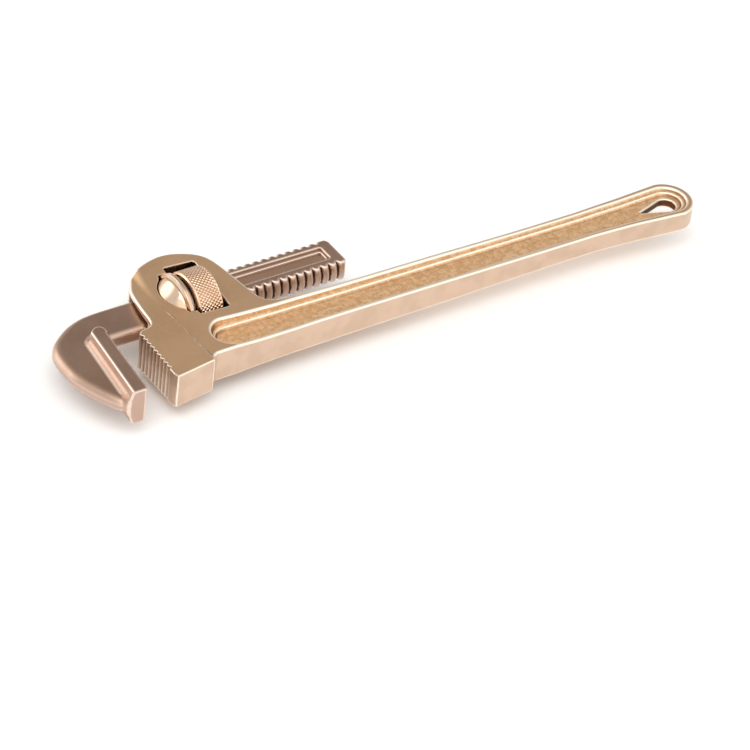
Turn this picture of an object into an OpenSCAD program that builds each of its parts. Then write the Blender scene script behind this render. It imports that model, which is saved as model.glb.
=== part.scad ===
// Straight pipe wrench, 18 inch class, non-sparking bronze.
// The wrench lies flat: +X runs to the end of the handle, the jaws open
// towards -Y, +Z is up. The modules are drawn about the screw axis of the
// shank (y = 0, z = 0) with x = 0 on the tooth face of the heel jaw, and the
// whole tool is then shifted so that the middle of its underside is the origin.

/* [Tool frame] */
// Distance from the heel tooth face to the end of the handle
handle_end_x = 364.5; // [330:0.5:400]
// Distance from the screw axis down to the centreline of the handle
handle_drop = 41.5; // [40:0.5:44]

/* [Head] */
// Half thickness of the head around the nut window
head_t = 11.2; // [10.5:0.1:12]
// Half width of the nut window across the handle direction
window_w = 21.7; // [21:0.1:22]
// Right hand end of the nut window
window_x = 62.8; // [62:0.1:64]
// Half thickness of the slot for the shank inside the head
slot_t = 7.2; // [7:0.1:7.4]
// Height of the slot roof above the screw axis, room for the leaf spring
slot_roof = 17.5; // [17:0.1:18]

/* [Heel jaw] */
// Depth of the serrations in both jaws
tooth_d = 1.5; // [0.8:0.1:2]
// Pitch of the serrations in both jaws
tooth_p = 3.6; // [3:0.1:4]
// Number of serrations in the heel jaw
heel_teeth = 9; // [6:1:9]

/* [Screw thread] */
// Pitch of the shank thread
pitch = 5.4; // [5.2:0.1:5.6]
// Radius over the thread crests of the shank
crest_r = 12.8; // [12.5:0.1:13]
// Depth of the thread in the shank
thread_d = 2.2; // [1.8:0.1:2.4]
// Axial clearance on each flank between shank and nut
flank_gap = 0.35; // [0.3:0.05:0.5]
// Radial clearance between the shank crests and the bore of the nut
crest_gap = 0.4; // [0.35:0.05:0.6]

/* [Hook jaw] */
// Half thickness of the threaded shank
shank_t = 6.6; // [6:0.1:6.7]
// Half thickness of the neck and the hook plate
plate_t = 4.8; // [4:0.1:6]
// Half thickness of the toothed bar of the hook
bar_t = 11.2; // [10:0.1:12]
// Far end of the shank
shank_x1 = 145; // [143:0.5:150]
// First thread groove of the shank
thread_x0 = 23.2; // [22:0.1:25]

/* [Nut, spring cap and springs] */
// Radius of the adjusting nut
nut_r = 19.4; // [18.5:0.1:20]
// Left face of the adjusting nut
nut_x0 = 43.3; // [43:0.1:44]
// Width of the adjusting nut
nut_w = 16; // [14:0.5:16]
// Radius of the rim of the domed spring cap
cap_r = 20.2; // [19.5:0.1:20.4]
// Radius of the dome of the spring cap, centred on the rocking axis
dome_r = 20.8; // [20.6:0.1:21]
// Position of the rocking axis on the screw axis
rock_x = 47; // [46.8:0.1:47.2]
// Wire diameter of the coil spring
wire_d = 1.6; // [1.2:0.1:1.8]
// Thickness of the leaf spring
leaf_t = 0.8; // [0.6:0.1:1]
// Position of the rivet that holds the leaf spring
rivet_x = 28; // [27:0.5:28.5]

/* [Hidden] */
$fn = 96;

// shift from the screw axis to the middle of the underside
mid_x = 158.75;
mid_y = -16.6;
mid_z = cap_r;

// ---- helpers -----------------------------------------------------------
// one point of a curve that passes through p1 and p2
function cr(p0, p1, p2, p3, t) =
    0.5 * (2 * p1 + (p2 - p0) * t + (2 * p0 - 5 * p1 + 4 * p2 - p3) * t * t
           + (3 * p1 - p0 - 3 * p2 + p3) * t * t * t);
// smooth open curve through hand-set points, n steps a span
function curve(p, n) = let (m = len(p)) concat(
    [for (i = [0:m - 2]) for (k = [0:n - 1])
        cr(p[max(i - 1, 0)], p[i], p[i + 1], p[min(i + 2, m - 1)], k / n)],
    [p[m - 1]]);
// arc about c from angle a to angle b
function arc(c, r, a, b, n) =
    [for (k = [0:n]) c + r * [cos(a + (b - a) * k / n), sin(a + (b - a) * k / n)]];
function rot2(v, a) = [v[0] * cos(a) - v[1] * sin(a), v[0] * sin(a) + v[1] * cos(a)];

module place() { translate([-mid_x, -mid_y, mid_z]) children(); }
// extrude a plan outline evenly about the middle plane
module slab(h) { linear_extrude(height = 2 * h, center = true) children(); }
// extrude an x-z outline along y
module side_x(y0, y1) {
    translate([0, y1, 0]) rotate([90, 0, 0]) linear_extrude(height = y1 - y0) children();
}
// extrude a y-z outline along x
module side_y(x0, x1) {
    translate([x0, 0, 0]) rotate([90, 0, 90]) linear_extrude(height = x1 - x0) children();
}
module xcyl(x0, x1, r) { translate([x0, 0, 0]) rotate([0, 90, 0]) cylinder(h = x1 - x0, r = r); }
// swept tube or ridge: rings of points joined in order, flat ends
module sweep(rings) {
    n = len(rings[0]);
    m = len(rings);
    polyhedron(
        points = [for (r = rings) for (p = r) p],
        faces = concat(
            [[for (k = [0:n - 1]) k]],
            [for (i = [0:m - 2]) for (k = [0:n - 1])
                [i * n + k, (i + 1) * n + k, (i + 1) * n + (k + 1) % n]],
            [for (i = [0:m - 2]) for (k = [0:n - 1])
                [i * n + k, (i + 1) * n + (k + 1) % n, i * n + (k + 1) % n]],
            [[for (k = [n - 1:-1:0]) (m - 1) * n + k]]));
}

// ---- frame -------------------------------------------------------------
// half width of the handle along x
handle_w = [[45, 13.9], [85, 13.1], [120, 12.6], [190, 12.4], [250, 12.1], [290, 12.1], [320, 13.4], [338, 14.9], [348, 15.6]];
function hw(x) = lookup(x, handle_w);
// centreline of the handle along x
function hy(x) = -handle_drop - lookup(x, [[45, 0], [300, 0.1], [350, 1.3]]);
// half thickness of the frame along x
frame_side = [[20, head_t], [45, head_t], [62, 10.2], [85, 9.1], [120, 8.5], [150, 8.1], [187, 7.7], [221, 7.1], [256, 6.6], [292, 6.5], [320, 6.6], [370, 6.4]];

heel_edge = curve([[0.4, -24], [2.4, -21.9], [7.4, -21], [10.3, -19], [11.8, -14.5], [12.4, -9], [13.2, -2], [14.4, 5.5], [16, 12.5], [19.2, 18.8], [22, 23.6]], 3);
loop_edge = curve([[22, 23.6], [25.5, 26.6], [30, 29.1], [36, 31.5], [42, 33.1], [48, 33.8], [54, 33.3], [60, 31.5], [65.5, 28.8], [70, 25], [73, 19.5], [74.8, 12], [76, 4], [77.3, -5], [78.6, -14], [80, -20], [82.6, -24.2], [87, -26.7], [93, -27.8], [104, -28.3]], 4);
end_c = [348.6, -42.8];
end_edge = arc(end_c, handle_end_x - end_c[0], 84, -84, 24);

module frame_plan() {
    polygon(concat(
        heel_edge, loop_edge,
        [for (x = [120, 150, 190, 250, 290, 305, 320, 330, 338]) [x, hy(x) + hw(x)]],
        end_edge,
        [for (x = [338, 330, 320, 305, 290, 250, 190, 150, 120, 85, 55, 36]) [x, hy(x) - hw(x)]],
        [[31.5, -55.6], [28.6, -57], [27.3, -59.4], [26.8, -60.9], [0, -65], [0, -24.5]]));
}
// the part of the plan that belongs to the heel jaw and the mouth of the slot
module front_plan() {
    intersection() {
        frame_plan();
        polygon(concat([[-1, -66], [26.8, -66]],
            curve([[27.2, -60.6], [26.3, -50], [25.7, -40], [25.3, -28], [24.7, -12], [24.2, 2], [24.6, 12], [25.8, 21], [27.5, 31]], 3),
            [[-1, 31]]));
    }
}
module nut_window_plan() {
    polygon(concat(
        arc([window_x - 4.4, -window_w + 2], 2, -90, 0, 6),
        arc([window_x - 1.8, window_w - 1], 1.8, 0, 90, 6),
        arc([43.7, window_w - 0.2], 1, 90, 180, 4),
        arc([42.6, -window_w + 1.6], 1.6, 180, 270, 5)));
}
// round pocket behind the window: ball seat, shoulder and bore for the cap
module cap_seat() {
    c = rock_x;
    r = dome_r + 0.4;
    rotate([0, 90, 0]) rotate_extrude() polygon(concat(
        [for (k = [0:14]) let (a = 56.1 * k / 14) [r * sin(a), c - r * cos(a)]],
        [[20.9, 37], [20.9, 46], [0, 46]]));
}
// channel in the handle, drawn in by d from its outer edge
module channel_plan(d) {
    l = [49, hy(49)];
    r = [348.4, hy(348.4)];
    polygon(concat(
        arc(l, hw(49) - 2.3 - d, 90, 270, 24),
        [for (x = [62, 85, 120, 190, 250, 290, 305, 320, 330, 338]) [x, hy(x) - hw(x) + rim(x) + d]],
        arc(r, hw(348) - 3.6 - d, -90, 90, 24),
        [for (x = [338, 330, 320, 305, 290, 250, 190, 120, 85, 62]) [x, hy(x) + hw(x) - rim(x) - d]]));
}
function rim(x) = lookup(x, [[50, 2.3], [120, 2.5], [250, 2.8], [300, 3], [338, 3.5], [350, 3.6]]);
module channels() {
    for (s = [1, -1]) scale([1, 1, 1]) mirror([0, 0, s < 0 ? 1 : 0]) {
        intersection() {
            slab(14) channel_plan(0);
            side_x(-70, -20) polygon([[30, 5.6], [380, 4.3], [380, 14], [30, 14]]);
        }
        intersection() {
            slab(14) channel_plan(2.6);
            side_x(-70, -20) polygon([[30, 3.4], [380, 2.6], [380, 14], [30, 14]]);
        }
    }
}
hole_c = [348, -43];
hole_r = 5.4;
hole_tip = [329.5, -42.6];
module hang_hole() {
    d = hole_c - hole_tip;
    a = acos(hole_r / norm(d));
    b = atan2(d[1], d[0]) + 180;
    slab(14) polygon(concat([hole_tip], arc(hole_c, hole_r, b + a, b + 360 - a, 40)));
}
// one row of V serrations cut into a face at x = 0, running along z
module serrations(n, y0, s, t = 14) {
    for (i = [0:n - 1])
        slab(t) polygon([
            [-s, y0 - i * tooth_p], [0, y0 - i * tooth_p],
            [tooth_d * s, y0 - (i + 0.62) * tooth_p],
            [0, y0 - (i + 1) * tooth_p + 0.25], [-s, y0 - (i + 1) * tooth_p + 0.25]]);
}
module frame() {
    color([0.76, 0.62, 0.48]) place() difference() {
        union() {
            intersection() {
                slab(14) difference() { frame_plan(); translate([-2, -70]) square([26, 106]); }
                side_x(-70, 40) polygon(concat(frame_side, [for (i = [len(frame_side) - 1:-1:0]) [frame_side[i][0], -frame_side[i][1]]]));
            }
            intersection() {
                slab(14) front_plan();
                side_y(-1, 40) polygon([[-66, -10.7], [-24.5, -11.6], [-16, -11.3], [10, -10.4], [34, -8.4], [34, 8.4], [10, 10.4], [-16, 11.3], [-24.5, 11.6], [-66, 10.7]]);
            }
        }
        // window for the nut, and the round pocket for the spring cap
        slab(14) nut_window_plan();
        cap_seat();
        // slot for the shank on both sides of the window
        side_y(5, 45) polygon([[-crest_r - 0.6, -slot_t], [slot_roof, -slot_t], [slot_roof, slot_t], [-crest_r - 0.6, slot_t]]);
        side_y(58, 90) polygon([[-crest_r - 2.4, -slot_t], [crest_r + 0.7, -slot_t], [crest_r + 0.7, slot_t], [-crest_r - 2.4, slot_t]]);
        // bore for the rivet of the leaf spring
        translate([rivet_x, slot_roof - 1, 0]) rotate([-90, 0, 0]) cylinder(h = 20, r = 1.5);
        serrations(heel_teeth, -24.9, 1);
        channels();
        hang_hole();
    }
}

// ---- hook jaw ----------------------------------------------------------
// half widths of a thread groove, along the axis
groove_c = 1.65;
flank = 0.55;
root_r = crest_r - thread_d;
helix = atan(pitch / (2 * PI * (crest_r - thread_d / 2)));
module groove(x, s) {
    // s = 1 on the edge away from the handle, -1 on the edge beside it: a ring
    // about the screw axis, leaning at the helix angle and kept on that edge
    translate([x, 0, 0]) rotate([0, s * helix, 0]) intersection() {
        rotate([0, 90, 0]) rotate_extrude() polygon([
            [root_r, -groove_c + flank * thread_d], [crest_r + 1, -groove_c - flank],
            [crest_r + 1, groove_c + flank], [root_r, groove_c - flank * thread_d]]);
        translate([-4, s > 0 ? 6 : -15, -9]) cube([8, 9, 18]);
    }
}
// groove centres: the two edges of the shank are half a pitch apart
groove_n = 22;
hook_edge = curve([[26, 11.8], [10, 11.8], [-4, 11.8], [-13.7, 11.3], [-20.5, 10.1], [-27.3, 7.9], [-33, 4.6], [-38.4, 0.4], [-42.9, -4.5], [-45.6, -10.2], [-46.8, -17], [-47, -24.5], [-46.8, -31.7], [-45.2, -38.7], [-42.9, -45.7], [-40, -52.4], [-36.6, -59], [-33.4, -63.6], [-29.6, -66.2]], 3);
module bar_plan() {
    polygon(concat(
        [[-28, -66], [-26.6, -67], [-20.5, -67], [-19.2, -65.9], [-16.1, -29], [-13.9, -14]],
        arc([-17.7, -11.6], 3.9, -10, 125, 10),
        [[-22.6, -12.4]]));
}
// sloping back of the toothed bar, above and below the plate
module bar_back() {
    for (m = [0, 1]) mirror([0, 0, m]) translate([-22.6, -12.4, 0]) rotate([0, 0, -5.75]) rotate([90, 0, 0])
        linear_extrude(height = 48) polygon([[0.6, 4.5], [0.6, bar_t - 0.2], [0, bar_t - 0.2], [-1.9, 4.5]]);
}
module hook_jaw() {
    color([0.58, 0.46, 0.38]) place() difference() {
        union() {
            // threaded shank with a plain neck
            intersection() {
                xcyl(14, shank_x1, crest_r);
                slab(shank_t) polygon([[20, -14], [shank_x1 - 3, -14], [shank_x1, -9], [shank_x1, 8], [shank_x1 - 4, 14], [20, 14]]);
            }
            intersection() {
                slab(plate_t) polygon(concat(hook_edge, [[-22, -64], [-15, -11.8], [26, -11.8]]));
                union() { xcyl(-30, 30, crest_r); slab(9) polygon([[-60, -70], [-12, -70], [-12, 30], [-60, 30]]); }
            }
            slab(bar_t) bar_plan();
            bar_back();
        }
        for (i = [0:groove_n - 1]) groove(thread_x0 + i * pitch, 1);
        for (i = [0:groove_n - 1]) groove(thread_x0 + (i + 0.5) * pitch, -1);
        // stepped recess in both faces of the shank
        for (m = [0, 1]) mirror([0, 0, m]) {
            translate([0, 0, shank_t - 1.1]) linear_extrude(height = 4)
                polygon([[66, -5.4], [136.8, -5.2], [137.6, -4.4], [137.6, 5.2], [136.8, 5.9], [66, 6.9]]);
            translate([0, 0, shank_t - 2.5]) linear_extrude(height = 4)
                polygon([[68, -3.9], [135.2, -3.9], [136, -3.2], [136, 2.8], [135.4, 3.4], [68, 3.8]]);
        }
        // serrations along the gripping face
        translate([-15.75, -25, 0]) rotate([0, 0, -4.75]) serrations(10, 0, -1, bar_t - 1.3);
    }
}

// ---- adjusting nut -----------------------------------------------------
module adjusting_nut() {
    bore = crest_r + crest_gap;
    hb = groove_c + flank * crest_gap - flank_gap;
    tip_r = root_r + 0.5;
    ht = groove_c - flank * (crest_r - tip_r) - flank_gap;
    turns = (nut_w - 2 * (hb + flank) - 1) / pitch;
    steps = ceil(turns * 24);
    // the ridge crosses +y on a groove centre of the shank
    cx = thread_x0 + 5 * pitch;
    a0 = (nut_x0 + hb + flank + 0.5 - cx) / pitch * 360;
    color([0.84, 0.68, 0.52]) place() union() {
        difference() {
            union() {
                xcyl(nut_x0 + 0.9, nut_x0 + nut_w - 0.9, nut_r);
                translate([nut_x0, 0, 0]) rotate([0, 90, 0]) cylinder(h = 0.9, r1 = nut_r - 0.9, r2 = nut_r);
                translate([nut_x0 + nut_w - 0.9, 0, 0]) rotate([0, 90, 0]) cylinder(h = 0.9, r1 = nut_r, r2 = nut_r - 0.9);
            }
            xcyl(nut_x0 - 1, nut_x0 + nut_w + 1, bore);
        }
        sweep([for (k = [0:steps]) let (
                t = a0 + k * turns * 360 / steps,
                x = cx + t / 360 * pitch,
                u = [cos(t), sin(t)])
            [[x - ht, tip_r * u[0], tip_r * u[1]], [x + ht, tip_r * u[0], tip_r * u[1]],
             [x + hb + flank, (bore + 1) * u[0], (bore + 1) * u[1]], [x - hb - flank, (bore + 1) * u[0], (bore + 1) * u[1]]]]);
    }
}

// ---- domed spring cap --------------------------------------------------
cap_x1 = 39.8;
pocket_x = 36.8;
module spring_cap() {
    color([0.82, 0.74, 0.66]) place() difference() {
        // domed nose, sloping shoulder, rim and spring pocket turned in one
        rotate([0, 90, 0]) rotate_extrude() polygon(concat(
            [for (k = [0:14]) let (a = 59.3 * k / 14) [dome_r * sin(a), rock_x - dome_r * cos(a)]],
            [[cap_r, 37.5], [cap_r, cap_x1], [16.9, cap_x1], [16.9, pocket_x], [0, pocket_x]]));
        // keyed passage for the shank
        intersection() {
            xcyl(20, 45, crest_r + 0.6);
            slab(shank_t + 0.5) translate([20, -20]) square([25, 40]);
        }
    }
}

// ---- springs -----------------------------------------------------------
module coil_spring() {
    x0 = pocket_x + wire_d / 2 + 0.02;
    x1 = nut_x0 - wire_d / 2 - 0.3;
    r = 15.7;
    turns = 2.75;
    steps = 72;
    // the two end coils lie flat against their seats
    function px(k) = let (u = k / steps, e = 0.2)
        x0 + (x1 - x0) * (u < e ? 0.05 * u / e : u > 1 - e ? 1 - 0.05 * (1 - u) / e : 0.05 + 0.9 * (u - e) / (1 - 2 * e));
    color([0.55, 0.53, 0.5]) place() sweep([for (k = [0:steps]) let (t = k * turns * 360 / steps)
        [for (j = [0:9]) let (a = -j * 36)
            [px(k) + wire_d / 2 * sin(a), (r + wire_d / 2 * cos(a)) * cos(t), (r + wire_d / 2 * cos(a)) * sin(t)]]]);
}
leaf_line = curve([[31.6, 17.06], [28.6, 17.06], [25.6, 17.06], [23.6, 16.75], [21.2, 15.3], [19.2, 13.9], [18.3, 13.66], [17.2, 14.2]], 4);
module leaf_spring() {
    color([0.45, 0.44, 0.43]) place() difference() {
        slab(5) polygon(concat(
            [for (p = leaf_line) p + [0, leaf_t / 2 - 0.02]],
            [for (i = [len(leaf_line) - 1:-1:0]) leaf_line[i] - [0, leaf_t / 2]]));
        translate([rivet_x, 14, 0]) rotate([-90, 0, 0]) cylinder(h = 6, r = 1.55);
    }
}
module spring_rivet() {
    color([0.62, 0.5, 0.4]) place() {
        translate([rivet_x, slot_roof - 1.3, 0]) rotate([-90, 0, 0]) cylinder(h = 27.9 - slot_roof + 1.3, r = 1.48);
        translate([rivet_x, slot_roof - 2.2, 0]) rotate([-90, 0, 0]) cylinder(h = 1.3, r = 2.5);
    }
}

frame();
hook_jaw();
adjusting_nut();
spring_cap();
coil_spring();
leaf_spring();
spring_rivet();
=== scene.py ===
"""Pipe wrench in cast bronze: fine visible meshes, materials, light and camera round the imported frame."""
import math

import bpy
import numpy as np
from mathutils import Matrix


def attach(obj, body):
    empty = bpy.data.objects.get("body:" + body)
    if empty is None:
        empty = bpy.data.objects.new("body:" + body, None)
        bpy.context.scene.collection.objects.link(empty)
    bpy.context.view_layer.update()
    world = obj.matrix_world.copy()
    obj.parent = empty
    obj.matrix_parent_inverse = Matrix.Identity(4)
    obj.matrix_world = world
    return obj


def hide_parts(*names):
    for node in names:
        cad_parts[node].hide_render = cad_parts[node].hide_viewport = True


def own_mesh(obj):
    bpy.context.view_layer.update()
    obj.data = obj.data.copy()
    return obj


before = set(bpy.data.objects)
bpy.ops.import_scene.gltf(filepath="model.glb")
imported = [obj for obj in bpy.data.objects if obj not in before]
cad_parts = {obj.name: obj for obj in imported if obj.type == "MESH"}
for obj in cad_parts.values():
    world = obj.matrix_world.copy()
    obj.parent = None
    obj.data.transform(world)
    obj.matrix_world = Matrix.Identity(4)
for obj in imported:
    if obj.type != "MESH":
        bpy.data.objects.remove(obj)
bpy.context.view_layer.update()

# The tool's own frame: millimetres, x = 0 on the heel jaw's tooth face, y = z = 0 on the screw axis.
MID = np.array([158.75, -16.6, -20.2])
F32 = np.float32


def to_row(p):
    return (np.asarray(p, dtype=np.float64) - MID) / 1000.0


# ---------------------------------------------------------------- curves and 2-D shapes
def curve(pts, n):
    p = np.array(pts, float)
    m = len(p)
    out = []
    for i in range(m - 1):
        p0, p1, p2, p3 = p[max(i - 1, 0)], p[i], p[i + 1], p[min(i + 2, m - 1)]
        for k in range(n):
            t = k / n
            out.append(0.5 * (2 * p1 + (p2 - p0) * t + (2 * p0 - 5 * p1 + 4 * p2 - p3) * t * t + (3 * p1 - p0 - 3 * p2 + p3) * t ** 3))
    out.append(p[-1])
    return [tuple(q) for q in out]


def arc(c, r, a, b, n):
    return [(c[0] + r * math.cos(math.radians(a + (b - a) * k / n)), c[1] + r * math.sin(math.radians(a + (b - a) * k / n))) for k in range(n + 1)]


def sd_poly(px, py, pts):
    """Signed distance to a closed polygon, negative inside."""
    px = px.astype(F32)
    py = py.astype(F32)
    d = np.full(np.broadcast(px, py).shape, 1e9, F32)
    inside = np.zeros(d.shape, bool)
    n = len(pts)
    for i in range(n):
        ax, ay = pts[i]
        bx, by = pts[(i + 1) % n]
        ex, ey = bx - ax, by - ay
        l2 = ex * ex + ey * ey
        if l2 < 1e-12:
            continue
        wx, wy = px - F32(ax), py - F32(ay)
        t = np.clip((wx * F32(ex) + wy * F32(ey)) / F32(l2), 0, 1)
        dx, dy = wx - t * F32(ex), wy - t * F32(ey)
        np.minimum(d, dx * dx + dy * dy, out=d)
        if ay != by:
            c = (py >= min(ay, by)) & (py < max(ay, by))
            c &= px < F32(ax) + wy * F32(ex / ey)
            inside ^= c
    return np.where(inside, -np.sqrt(d), np.sqrt(d))


def iround(a, b, r):
    """Intersection of two fields with an edge rounded to radius r."""
    u = np.maximum(a + r, 0)
    v = np.maximum(b + r, 0)
    return np.minimum(np.maximum(a, b), -r) + np.sqrt(u * u + v * v)


def uround(a, b, r):
    """Union with a fillet of radius r."""
    return -iround(-a, -b, r)


def dround(a, b, r):
    """a without b, the new edge rounded to radius r."""
    return iround(a, -b, r)


def lookup(x, table):
    t = np.array(table, float)
    return np.interp(x, t[:, 0], t[:, 1]).astype(F32)


def step(x, a, b):
    t = np.clip((x - a) / (b - a), 0, 1)
    return t * t * (3 - 2 * t)


# ---------------------------------------------------------------- field to mesh
EDGES = [((0, 0, 0), (1, 0, 0)), ((0, 1, 0), (1, 1, 0)), ((0, 0, 1), (1, 0, 1)), ((0, 1, 1), (1, 1, 1)),
         ((0, 0, 0), (0, 1, 0)), ((1, 0, 0), (1, 1, 0)), ((0, 0, 1), (0, 1, 1)), ((1, 0, 1), (1, 1, 1)),
         ((0, 0, 0), (0, 0, 1)), ((1, 0, 0), (1, 0, 1)), ((0, 1, 0), (0, 1, 1)), ((1, 1, 0), (1, 1, 1))]


def surface_net(f, xs, ys, zs):
    s = f < 0
    cnt = np.zeros([n - 1 for n in f.shape], np.int8)
    for a in (0, 1):
        for b in (0, 1):
            for c in (0, 1):
                cnt += s[a:s.shape[0] - 1 + a, b:s.shape[1] - 1 + b, c:s.shape[2] - 1 + c]
    act = (cnt > 0) & (cnt < 8)
    I, J, K = np.nonzero(act)
    n = len(I)
    idx = np.full(act.shape, -1, np.int32)
    idx[I, J, K] = np.arange(n)
    acc = np.zeros((n, 3))
    num = np.zeros(n)
    for a, b in EDGES:
        fa = f[I + a[0], J + a[1], K + a[2]]
        fb = f[I + b[0], J + b[1], K + b[2]]
        m = (fa < 0) != (fb < 0)
        t = fa[m] / (fa[m] - fb[m])
        acc[m] += np.array(a, float) + t[:, None] * (np.array(b, float) - np.array(a, float))
        num[m] += 1
    p = acc / num[:, None]
    v = np.stack([xs[I] + (xs[I + 1] - xs[I]) * p[:, 0], ys[J] + (ys[J + 1] - ys[J]) * p[:, 1], zs[K] + (zs[K + 1] - zs[K]) * p[:, 2]], 1)
    quads = []
    # edges along x, y and z, each with its four cells in order about the edge
    i, j, k = np.nonzero(s[:-1, 1:-1, 1:-1] != s[1:, 1:-1, 1:-1]); j += 1; k += 1
    q = np.stack([idx[i, j - 1, k - 1], idx[i, j, k - 1], idx[i, j, k], idx[i, j - 1, k]], 1)
    w = s[i, j, k]; q[~w] = q[~w][:, ::-1]; quads.append(q)
    i, j, k = np.nonzero(s[1:-1, :-1, 1:-1] != s[1:-1, 1:, 1:-1]); i += 1; k += 1
    q = np.stack([idx[i - 1, j, k - 1], idx[i - 1, j, k], idx[i, j, k], idx[i, j, k - 1]], 1)
    w = s[i, j, k]; q[~w] = q[~w][:, ::-1]; quads.append(q)
    i, j, k = np.nonzero(s[1:-1, 1:-1, :-1] != s[1:-1, 1:-1, 1:]); i += 1; j += 1
    q = np.stack([idx[i - 1, j - 1, k], idx[i, j - 1, k], idx[i, j, k], idx[i - 1, j, k]], 1)
    w = s[i, j, k]; q[~w] = q[~w][:, ::-1]; quads.append(q)
    return v, np.concatenate(quads)


def sampler(f, xs, ys, zs):
    def at(p):
        out = []
        for c, g in ((0, xs), (1, ys), (2, zs)):
            i = np.clip(np.searchsorted(g, p[:, c]) - 1, 0, len(g) - 2)
            t = np.clip((p[:, c] - g[i]) / (g[i + 1] - g[i]), 0, 1)
            out.append((i, t))
        (i, a), (j, b), (k, c) = out
        r = 0
        for u in (0, 1):
            for v in (0, 1):
                for w in (0, 1):
                    r = r + f[i + u, j + v, k + w] * (a if u else 1 - a) * (b if v else 1 - b) * (c if w else 1 - c)
        return r
    return at


def gradient(at, p, h):
    g = np.zeros_like(p)
    for c in range(3):
        e = np.zeros(3)
        e[c] = h[c] if np.ndim(h) else h
        g[:, c] = (at(p + e) - at(p - e)) / (2 * e[c])
    return g


def unit(v):
    return v / np.maximum(np.linalg.norm(v, axis=1), 1e-9)[:, None]


def make_object(name, verts_mm, faces, body, nodes, mats, normals=None, attrs=None, smooth=True):
    me = bpy.data.meshes.new(name)
    v = to_row(verts_mm)
    faces = np.asarray(faces)
    me.vertices.add(len(v))
    me.vertices.foreach_set("co", v.astype(F32).ravel())
    k = faces.shape[1]
    me.loops.add(faces.size)
    me.loops.foreach_set("vertex_index", faces.astype(np.int32).ravel())
    me.polygons.add(len(faces))
    me.polygons.foreach_set("loop_start", np.arange(0, faces.size, k, dtype=np.int32))
    me.polygons.foreach_set("loop_total", np.full(len(faces), k, np.int32))
    me.update(calc_edges=True)
    me.validate()
    finish_mesh(me, normals, attrs, smooth)
    ob = bpy.data.objects.new(name, me)
    bpy.context.scene.collection.objects.link(ob)
    for m in mats:
        me.materials.append(m)
    if body:
        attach(ob, body)
    if nodes:
        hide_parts(*nodes)
    return ob


def finish_mesh(me, normals, attrs, smooth=True):
    me.polygons.foreach_set("use_smooth", np.full(len(me.polygons), smooth))
    if callable(normals):
        # every triangle corner is shaded from a point a little inside its triangle, so that a long flat
        # triangle whose tip touches a fillet stays flat
        lv = np.empty(len(me.loops), np.int32)
        me.loops.foreach_get("vertex_index", lv)
        co = np.empty(len(me.vertices) * 3, F32)
        me.vertices.foreach_get("co", co)
        P = (co.reshape(-1, 3).astype(float) * 1000 + MID)[lv].reshape(-1, 3, 3)
        to = P.mean(1, keepdims=True) - P
        dist = np.linalg.norm(to, axis=2, keepdims=True)
        Q = (P + to / np.maximum(dist, 1e-6) * np.clip((dist - 0.7) * 0.9, 0, 1.3)).reshape(-1, 3)
        n, attrs = normals(Q)
        for key, val in attrs.items():
            me.attributes.new(key, "FLOAT", "CORNER").data.foreach_set("value", val.astype(F32))
        me.normals_split_custom_set(n.tolist())
        return
    for key, val in (attrs or {}).items():
        a = me.attributes.get(key) or me.attributes.new(key, "FLOAT", "POINT")
        a.data.foreach_set("value", np.asarray(val, F32))


def decimated(me, target):
    """The same mesh with about target triangles, flat regions first."""
    ob = bpy.data.objects.new("tmp_decimate", me)
    bpy.context.scene.collection.objects.link(ob)
    tris = 2 * len(me.polygons)
    m = ob.modifiers.new("d", "DECIMATE")
    m.ratio = min(1.0, target / tris)
    m.use_collapse_triangulate = True
    dg = bpy.context.evaluated_depsgraph_get()
    out = bpy.data.meshes.new_from_object(ob.evaluated_get(dg))
    bpy.data.objects.remove(ob)
    return out


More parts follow.
